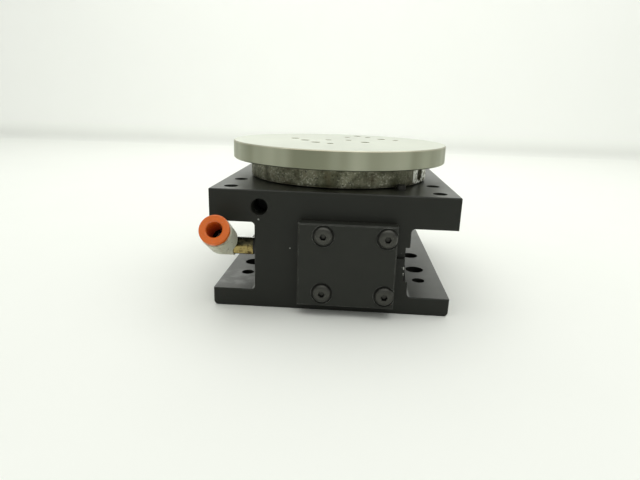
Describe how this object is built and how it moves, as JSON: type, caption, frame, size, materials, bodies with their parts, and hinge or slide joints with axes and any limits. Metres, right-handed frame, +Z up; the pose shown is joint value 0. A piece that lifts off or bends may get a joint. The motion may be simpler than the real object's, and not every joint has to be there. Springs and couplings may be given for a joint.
{
  "type": "pneumatic rotary table",
  "caption": "Air-driven rotary indexing table: rack and pinion in a black I-section body turn a flanged disc half a turn, with a push-in elbow fitting.",
  "frame": {"origin": "on the table's turning axis, in the plane of the body's underside", "axes": "+Z up along the turning axis, -Y towards the front cover, -X towards the air fitting"},
  "size_m": [0.1022, 0.1411, 0.0673],
  "materials": {
    "black_anodised": "satin black hard anodising, worn on the edges",
    "black_cover": "satin black anodising",
    "black_oxide": "black oxide on alloy steel",
    "cast_ring": "rough as-cast skin, stained",
    "ground_plate": "fine turned and ground",
    "bright_steel": "bright turned steel",
    "gear_steel": "hobbed and hardened steel",
    "bearing_steel": "ground bearing steel",
    "spring_steel": "phosphated spring steel",
    "piston_alloy": "fine turned",
    "brass": "machined brass",
    "white_plastic": "moulded, slightly dirty",
    "orange_plastic": "glossy moulded",
    "wear_plastic": "bronze-filled plastic",
    "seal_rubber": "moulded nitrile",
    "gasket_sheet": "cut sheet"
  },
  "bodies": {
    "root": {"body_housing": "black_anodised", "front_cover": "black_cover", "front_gasket": "gasket_sheet", "front_cover_screws": "black_oxide", "rear_cover": "black_cover", "rear_gasket": "gasket_sheet", "rear_cover_screws": "black_oxide", "front_bumper": "seal_rubber", "rear_bumper": "seal_rubber", "upper_bearing_outer": "bearing_steel", "upper_bearing_balls": "bearing_steel", "upper_bearing_cage": "spring_steel", "lower_bearing_outer": "bearing_steel", "lower_bearing_balls": "bearing_steel", "lower_bearing_cage": "spring_steel", "retaining_ring": "spring_steel", "deck_seal": "seal_rubber", "index_pin": "black_oxide", "fitting_stem": "brass", "stem_washer": "seal_rubber", "stem_o_ring": "seal_rubber"},
    "table": {"table_flange": "cast_ring", "table_disc": "ground_plate", "disc_screws": "black_oxide", "flange_set_screw": "bright_steel", "pinion_shaft": "gear_steel", "shaft_key": "gear_steel", "upper_bearing_inner": "bearing_steel", "lower_bearing_inner": "bearing_steel"},
    "rack": {"rack_rod": "gear_steel", "rack_screws": "black_oxide", "front_piston": "piston_alloy", "rear_piston": "piston_alloy", "front_piston_seal": "seal_rubber", "rear_piston_seal": "seal_rubber", "front_wear_ring": "wear_plastic", "rear_wear_ring": "wear_plastic"},
    "elbow": {"elbow_body": "white_plastic", "tube_seal": "seal_rubber", "grab_ring": "bright_steel"},
    "collar": {"release_collar": "orange_plastic"}
  },
  "joints": [
    {"name": "table_spin", "type": "hinge", "parent": "root", "child": "table", "pos_m": [0, 0, 0.055], "axis": [0, 0, 1], "range_deg": [0, 180]},
    {"name": "rack_slide", "type": "slide", "parent": "root", "child": "rack", "axis": [0, 1, 0], "range_m": [0, 0.0283]},
    {"name": "elbow_swivel", "type": "hinge", "parent": "root", "child": "elbow", "pos_m": [-0.04515, -0.0448, 0.0253], "axis": [1, 0, 0], "range_deg": [0, 78]},
    {"name": "collar_press", "type": "slide", "parent": "elbow", "child": "collar", "axis": [0, 0.8554, -0.518], "range_m": [0, 0.0012], "stiffness_N_per_m": 400}
  ],
  "couplings": [
    {"joint": "rack_slide", "follows": "table_spin", "m_per_rad": 0.009}
  ]
}
